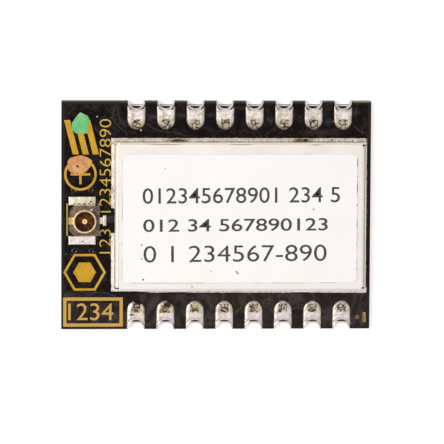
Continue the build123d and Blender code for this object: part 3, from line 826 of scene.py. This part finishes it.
shape = bmesh.new()
outline = rounded_rectangle(label_low, label_high, corner_radius, 10)
middle = Vector(((label_low.x + label_high.x) / 2, (label_low.y + label_high.y) / 2))
levels = [(0.0, label_low.z), (0.0, paper_top - 0.03), (0.015, paper_top - 0.008), (paper_edge, paper_top)]
rings = []
for inset, z in levels:
    ring = []
    for x, y in outline:
        pull_x = max(min(x - middle.x, inset), -inset)
        pull_y = max(min(y - middle.y, inset), -inset)
        ring.append(shape.verts.new((x - pull_x, y - pull_y, z)))
    rings.append(ring)
skin(shape, rings)
half_label = ((label_high.x - label_low.x) / 2, (label_high.y - label_low.y) / 2, 0.0)
# Flat even white, very slightly warm, with a broken grey line of painted shadow along its edge, fainter along
# the top, and dark dashes of dirt on its right edge.
# Paper fibres are far finer than a pixel, so the mottle is drawn ten times as coarse.
coated_paper, tree, shader, place = material("coated_label_paper", Roughness=0.55, Specular_IOR_Level=0.3)
fibre = add(tree, "TexNoise", place, Scale=1 / 0.25, Detail=4.0)
cloud = add(tree, "TexNoise", place, Scale=1 / 4.0, Detail=3.0, Distortion=0.4)
mottle = add(tree, "Mix", 0.3, cloud, fibre)
paper_shades = ((0.35, "#f7f5f2"), (0.55, "#f9f7f5"), (0.7, "#faf9f7"))
tone = add(tree, "ValToRGB", mottle, stops=paper_shades)
inside = add(tree, "VectorMath subtract", place, (middle.x, middle.y, 0.0))
past_right, past_top, _ = add(tree, "SeparateXYZ", inside).node.outputs
inside = add(tree, "VectorMath absolute", inside)
inside = add(tree, "VectorMath subtract", inside, half_label)
past_x, past_y, _ = add(tree, "SeparateXYZ", inside).node.outputs
past = add(tree, "Math maximum", past_x, past_y)
# Painted shadow: a broken grey line along the paper's edge, fainter along the top.
edge = add(tree, "MapRange smoothstep", past, -0.07, -0.01)
broken = add(tree, "TexNoise", place, Scale=1 / 1.2, Detail=4.0)
edge = faded(tree, edge, broken, 0.42, 0.6, 0.25, 0.85, blend="smoothstep")
edge = faded(tree, edge, past_top, half_label[1] - 0.15, half_label[1] - 0.1, 1.0, 0.3)
tone = add(tree, "Mix rgba", edge, tone, "#7c776a")
dashes = add(tree, "TexNoise", place, Scale=1 / 0.45, Detail=2.0)
dashes = add(tree, "MapRange", dashes, 0.54, 0.6)
dashes = faded(tree, dashes, past_right, half_label[0] - 0.08, half_label[0] - 0.04)
tone = add(tree, "Mix rgba", dashes, tone, "#3d3630")
lay_finish(shader, tone, fibre, 0.003)
make_piece("paper_label", shape, coated_paper, "label_paper", "label", crease=60)

# Soft dark grey, thinner in specks where the ribbon skipped.
print_ink, tree, shader, place = material("thermal_transfer_print", Roughness=0.6, Specular_IOR_Level=0.25)
shades = ((0.3, "#3a3838"), (0.55, "#474545"), (0.75, "#646262"))
lay_finish(shader, mottled(tree, place, 0.1, shades, Detail=3.0))
shape = bmesh.new()
print_low, print_high = paper_top - 0.01, label_high.z - 0.004
slope = math.radians(0.45)
printed(shape, "012345678901 234 5", -6.41, 10.5, 1.15, 2.49, print_low, print_high, slope, -0.004)
printed(shape, "012 34 567890123", -6.36, 9.47, -1.27, -0.18, print_low, print_high, slope, -0.008)
printed(shape, "0 1 234567-890", -6.32, 9.39, -3.89, -2.47, print_low, print_high, slope, 0.004)
speck_places = ((-6.49, -2.37, 0.07), (-6.49, -3.56, 0.06), (-6.35, -5.36, 0.08), (-2.28, -3.82, 0.06))
speck_places += ((-0.53, -4.65, 0.05), (1.66, -4.7, 0.075), (1.77, -4.83, 0.07), (8.25, 0.68, 0.07))
speck_places += ((-4.49, 4.17, 0.04),)
for x, y, radius in speck_places:
    plate(shape, circle(x, y, radius, 9), print_low, print_high)
make_piece("label_print", shape, print_ink, "label_paper")


# Aerial socket: a gold-plated brass ring that the plug closes over, with a pin inside it, held in a dark
# brown moulded insulator. Two feet, a lug and the pin's tail are soldered to the board.
# Pale gold with cream highlights, duller and more olive where flux has crept over the lug.
gold_plate, tree, shader, place = material("gold_plated_brass", Metallic=1.0, Roughness=0.24)
shades = ((0.3, "#ccb17a"), (0.5, "#e9d7ac"), (0.72, "#f8ecd0"))
tone = mottled(tree, place, 0.3, shades, Detail=4.0, Distortion=0.4)
across, _, _ = add(tree, "SeparateXYZ", place).node.outputs
tone = wash(tree, tone, "#b3954a", across, -12.5, -12.3, 0.8, 0.0)
lay_finish(shader, tone, add(tree, "TexNoise", place, Scale=1 / 0.08), 0.003)
finish_nodes(gold_plate, "socket_outer_contact")

# Brighter and yellower gold on the pin, with painted shade in the plug's dent in its middle, and bare tin on
# its tail.
gold_pin, tree, shader, place = material("gold_plated_pin", Metallic=1.0, Roughness=0.3)
across, _, _ = add(tree, "SeparateXYZ", place).node.outputs
tone = mottled(tree, place, 0.2, ((0.3, "#f2cf8c"), (0.7, "#ffe3a8")), Detail=3.0)
tone = wash(tree, tone, "#cfc9bb", across, -10.3, -10.1)
# Painted shade in the plug's dent.
tone = stain(tree, place, tone, "#6b4a1c", -11.34, -0.44, 0.06, 0.06, 0.1)
lay_finish(shader, tone)
finish_nodes(gold_pin, "socket_centre_contact")

# Satin purple-brown with flow marks from moulding, painted a darker, redder brown down inside the ring as
# shade, darkest at its lower left, with a painted highlight and a lilac painted sheen on the insulator.
pin_low, pin_high = (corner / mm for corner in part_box("socket_centre_contact"))
pin_radius, well_radius = 0.25, 0.87
pin_middle = (pin_low.x + pin_radius, (pin_low.y + pin_high.y) / 2, 0.0)
satin = {"Roughness": 0.42, "Specular_IOR_Level": 0.12}
moulded_polymer, tree, shader, place = material("liquid_crystal_polymer", **satin)
flow = add(tree, "TexNoise", place, Scale=1 / 0.4, Detail=4.0, Distortion=1.2)
brown_shades = ((0.32, "#493a32"), (0.45, "#645247"), (0.56, "#7a695c"), (0.7, "#908174"))
tone = add(tree, "ValToRGB", flow, stops=brown_shades)
# Painted shade: down inside the ring the brown is darker and redder, darkest at the lower left.
well_shade_colours = ((0.35, "#2a1103"), (0.5, "#472105"), (0.66, "#70430e"))
shaded_well_tone = add(tree, "ValToRGB", flow, stops=well_shade_colours)
from_pin = add(tree, "VectorMath subtract", place, pin_middle)
from_pin = add(tree, "VectorMath multiply", from_pin, (1.0, 1.0, 0.0))
from_pin = add(tree, "VectorMath length", from_pin)
in_well = add(tree, "Math less_than", from_pin, well_radius)
tone = add(tree, "Mix rgba", in_well, tone, shaded_well_tone)
tone = stain(tree, place, tone, "#260f05", -11.7, -0.8, 0.42, 0.42, 0.3, 0.1)
# A painted highlight and a lilac painted sheen on the insulator.
tone = stain(tree, place, tone, "#cfc9d6", -10.74, 0.5, 0.13, 0.1)
tone = stain(tree, place, tone, "#6f6580", -10.35, 0.45, 0.1, 0.12, 0.3)
lay_finish(shader, tone, add(tree, "TexNoise", place, Scale=1 / 0.12, Detail=3.0), 0.008)
finish_nodes(moulded_polymer, "socket_insulator")

# Smooth bright solder, cream on the upper foot and cooler on the lower one, with dark pits along its seam.
ground_nodes = ["socket_ground_solder_upper", "socket_ground_solder_lower"]
joint_solder, tree, shader, place = material("reflowed_tin_solder", Metallic=1.0, Roughness=0.28)
_, along, _ = add(tree, "SeparateXYZ", place).node.outputs
mottle = add(tree, "TexNoise", place, Scale=1 / 0.6, Detail=3.0, Distortion=0.5)
tone = add(tree, "ValToRGB", mottle, stops=((0.35, "#c3b9a2"), (0.5, "#cec5b0"), (0.65, "#dcd4c4")))
cool = add(tree, "ValToRGB", mottle, stops=((0.35, "#d2c8c7"), (0.65, "#e2dad8")))
on_lower = add(tree, "Math less_than", along, -1.0)
tone = add(tree, "Mix rgba", on_lower, tone, cool)
pits = ((-10.8, 1.18, 0.11, 0.09), (-11.48, -2.24, 0.08, 0.07), (-12.2, 1.0, 0.1, 0.05))
pits += ((-11.8, 1.01, 0.17, 0.05), (-11.35, 0.99, 0.2, 0.06), (-10.95, 1.01, 0.14, 0.06))
pits += ((-10.62, 1.0, 0.08, 0.05),)
for pit in pits:
    tone = stain(tree, place, tone, "#3e372f", *pit)
fine = add(tree, "TexNoise", place, Scale=1 / 0.16, Detail=3.0, Distortion=0.3)
lay_finish(shader, tone, fine, 0.006)
joint_nodes = ground_nodes + ["socket_signal_solder"]
shape = lumpy_copy(joint_nodes, 0.035, 0.015, 0.5, 2)
make_piece("socket_solder", shape, joint_solder, "joint_solder", *joint_nodes, crease=180)


# Inspection paint: two dabs from a brush, one green and one orange, which have dried as low domes with a
# thicker edge. The orange one is thin, so that it is yellower at its rim, and it has dried around a hole.
def dab(shape, outline, top, softness, waver, seed):
    """A closed low dome of paint over a rough outline in millimetres, its corners eased by softness."""
    middle = sum((Vector(point) for point in outline), Vector((0, 0))) / len(outline)
    smooth = []
    for i in range(len(outline)):
        before, start, end, after = (Vector(outline[(i + k) % len(outline)]) for k in (-1, 0, 1, 2))
        for t in (0.0, 0.2, 0.4, 0.6, 0.8):
            leave = (end - before) * softness * t * (1 - t) ** 2
            arrive = (after - start) * softness * t * t * (1 - t)
            smooth.append(start + (end - start) * t * t * (3 - 2 * t) + leave - arrive)
    rings = []
    steps = ((1.0, 0.0), (1.0, 0.3), (0.965, 0.75), (0.9, 1.0), (0.75, 0.92), (0.45, 0.8), (0.15, 0.78))
    for share, lift in steps:
        ring = []
        for point in smooth:
            x, y = middle + (point - middle) * share
            ripple = noise.noise(Vector((x * 2, y * 2, seed))) * waver * share * (lift > 0.5)
            z = board_top - 0.004 + (top - board_top + 0.004) * lift + ripple
            ring.append(shape.verts.new((x, y, z)))
        rings.append(ring)
    skin(shape, rings)


# Fresh leaf green, a little paler where the brush left it thick.
paint_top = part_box("green_paint_mark")[1].z / mm
green_paint, tree, shader, place = material("green_inspection_paint", Roughness=0.35, Specular_IOR_Level=0.4)
shades = ((0.35, "#5cb973"), (0.5, "#69c077"), (0.65, "#7fc68a"))
tone = mottled(tree, place, 0.9, shades, Detail=3.0, Distortion=0.8)
brushed = add(tree, "TexNoise", place, Scale=1 / 0.3, Detail=3.0)
lay_finish(shader, tone, brushed, 0.01)
shape = bmesh.new()
green_outline = [(-11.72, 8.86), (-11.06, 8.55), (-10.92, 8.22), (-11.04, 7.82), (-11.05, 7.05)]
green_outline += [(-12.05, 7.03), (-12.38, 7.36), (-12.43, 7.92), (-12.15, 8.36)]
dab(shape, green_outline, paint_top, 0.12, 0.003, 3.0)
make_piece("green_paint_dab", shape, green_paint, "green_paint", "green_paint_mark", crease=75)

# Dull salmon orange, with small freckles, and yellower at the rim.
dried = {"Roughness": 0.4, "Specular_IOR_Level": 0.35}
orange_paint, tree, shader, place = material("orange_inspection_paint", **dried)
shades = ((0.35, "#cb8550"), (0.5, "#d4945e"), (0.65, "#dda878"))
tone = mottled(tree, place, 0.7, shades, Detail=3.0, Distortion=0.8)
thin = add(tree, "TexNoise", place, Scale=1 / 0.35, Detail=3.0, Distortion=0.5)
tone = wash(tree, tone, "#d3a63c", thin, 0.6, 0.66, 0.0, 0.6, blend="smoothstep")
tone = stain(tree, place, tone, "#d8a640", -10.85, 4.6, 0.25, 0.5, 0.5)
freckles = ((-11.95, 4.22, 0.14, 0.12), (-11.95, 3.62, 0.06, 0.05), (-11.5, 4.75, 0.05, 0.04))
for freckle in freckles:
    tone = stain(tree, place, tone, "#4a2a18", *freckle)
lay_finish(shader, tone, add(tree, "TexNoise", place, Scale=1 / 0.3, Detail=3.0), 0.01)
shape = bmesh.new()
orange_outline = [(-12.18, 5.06), (-11.84, 5.14), (-11.37, 5.1), (-10.8, 4.8), (-10.72, 4.49)]
orange_outline += [(-10.94, 4.07), (-11.37, 3.68), (-11.95, 3.5), (-12.22, 3.64), (-12.66, 3.84)]
orange_outline += [(-12.8, 4.38), (-12.66, 4.85)]
dab(shape, orange_outline, paint_top, 0.9, 0.006, 8.0)
make_piece("orange_paint_dab", shape, orange_paint, "orange_paint", "orange_paint_mark", crease=75)


# Stray solder and dust: a bead beside the first upper land, a few pale flecks, and fine dust on the mask.
# Tiny bright beads at the via rims are painted highlights, standing in for glints on the mask's rings.
shape = bmesh.new()
flecks_and_glints = ((-6.5, 7.33, 0.11), (-10.25, 8.5, 0.1))
# Painted highlights: two tiny bright beads at each via's rim, for the glints on its ring.
for x, y in via_places:
    flecks_and_glints += ((x - 0.17, y + 0.04, 0.035), (x + 0.16, y - 0.06, 0.04))
for x, y, radius in flecks_and_glints:
    at = Matrix.Translation((x, y, board_top + radius * 0.35)) @ Matrix.Diagonal((1.0, 0.85, 0.6, 1.0))
    bmesh.ops.create_icosphere(shape, subdivisions=2, radius=radius, matrix=at)
make_piece("stray_solder_and_glints", shape, joint_solder, "joint_solder", crease=180)

# Pale grey lint, dull all round.
lint, tree, shader, place = material("grey_dust", Roughness=0.9, Specular_IOR_Level=0.1)
lay_finish(shader, mottled(tree, place, 0.5, ((0.35, "#5f5a58"), (0.6, "#8d8886"))))
shape = bmesh.new()
bare_areas = ((-13.1, -9.2, -9.6, 9.6), (-9.2, 13.1, 6.8, 9.6), (-9.2, 13.1, -9.6, -6.9))
for left, right, low, high in bare_areas:
    around = ((left, low), (right, low), (right, high), (left, high))
    shape.faces.new([shape.verts.new((x, y, board_top + 0.008)) for x, y in around])
board_dust = new_object("board_dust", shape)
sizes = {"Density": 0.8 / mm**2, "Speck radius": 0.035 * mm, "Seed": 4}
scatter, given, keys = node_group("dust_scatter", sizes)
density, seed = given["Density"], given["Seed"]
laid = {"Density": density, "Seed": seed}
specks = add(scatter, "GeometryNodeDistributePointsOnFaces", given["Geometry"], **laid)
speck = add(scatter, "GeometryNodeMeshIcoSphere", given["Speck radius"], 1)
any_size = {"Min": (0.4, 0.4, 0.2), "Max": (1.6, 1.0, 0.4), "data_type": "FLOAT_VECTOR"}
squash = add(scatter, "FunctionNodeRandomValue", Seed=seed, **any_size)
any_turn = {"Min": (0, 0, 0), "Max": (0, 0, 2 * math.pi), "data_type": "FLOAT_VECTOR"}
spin = add(scatter, "FunctionNodeRandomValue", Seed=seed, **any_turn)
scattered = add(scatter, "GeometryNodeInstanceOnPoints", specks, Instance=speck, Rotation=spin, Scale=squash)
scattered = add(scatter, "GeometryNodeRealizeInstances", scattered)
add(scatter, "NodeGroupOutput", add(scatter, "GeometryNodeSetMaterial", scattered, Material=lint))
run_nodes(board_dust, scatter, keys, sizes)
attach(board_dust, body)


# Parts under the can: a radio chip, its oscillator, a switch, coils, capacitors and resistors. They are
# hidden, so they have the plain finishes that such parts have, with tinned ends on the small ones.
def plain_finish(name, dark, pale, grain, height, **settings):
    """A material of one mottled colour, with a fine grain in millimetres."""
    finish, tree, shader, place = material(name, **settings)
    grit = add(tree, "TexNoise", place, Scale=1 / grain, Detail=3.0)
    lay_finish(shader, add(tree, "ValToRGB", grit, stops=((0.3, dark), (0.7, pale))), grit, height)
    return finish


# Matt black epoxy with fine grit, bright nickel, matt grey ferrite, tan and white fired ceramic, glossy black
# glaze and pale tin. Their grain is drawn coarse enough to show.
black_moulding = plain_finish("black_moulding_compound", "#1c1c1c", "#2b2b2a", 0.06, 0.004, Roughness=0.5)
plated_lid = plain_finish("nickel_plated_lid", "#b3ac9c", "#d6d0c2", 0.15, 0.002, Roughness=0.3, Metallic=1.0)
grey_ferrite = plain_finish("moulded_ferrite", "#3d3d3e", "#58585a", 0.1, 0.006, Roughness=0.55)
tan_ceramic = plain_finish("fired_tan_ceramic", "#a5825a", "#bd9a70", 0.08, 0.002, Roughness=0.4)
white_bobbin = plain_finish("white_alumina_bobbin", "#d9d9dc", "#efeff0", 0.08, 0.003, Roughness=0.45)
black_glaze = plain_finish("black_glazed_film", "#151515", "#232324", 0.1, 0.001, Roughness=0.25)
tinned_end = plain_finish("tinned_end_cap", "#b5b0a6", "#dcd8cf", 0.1, 0.002, Roughness=0.3, Metallic=1.0)
end_length = 0.26


def finish_with_ends(finish, name):
    """A small part's body finish, with tinned caps on its two ends."""
    finish_nodes(finish, name)
    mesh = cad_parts[name].data
    mesh.materials.append(tinned_end)
    low, high = (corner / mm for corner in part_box(name))
    axis = 0 if high.x - low.x > high.y - low.y else 1
    for face in mesh.polygons:
        middle = face.center[axis] / mm
        if min(middle - low[axis], high[axis] - middle) < end_length:
            face.material_index = 1


finish_nodes(black_moulding, "transceiver_chip", "aerial_switch")
finish_nodes(plated_lid, "reference_oscillator")
finish_with_ends(grey_ferrite, "supply_inductor")
for number in range(1, 11):
    finish_with_ends(tan_ceramic, f"capacitor_{number}")
for number in (1, 2):
    finish_with_ends(black_glaze, f"resistor_{number}")
for number in (1, 2, 3):
    finish_with_ends(white_bobbin, f"matching_inductor_{number}")
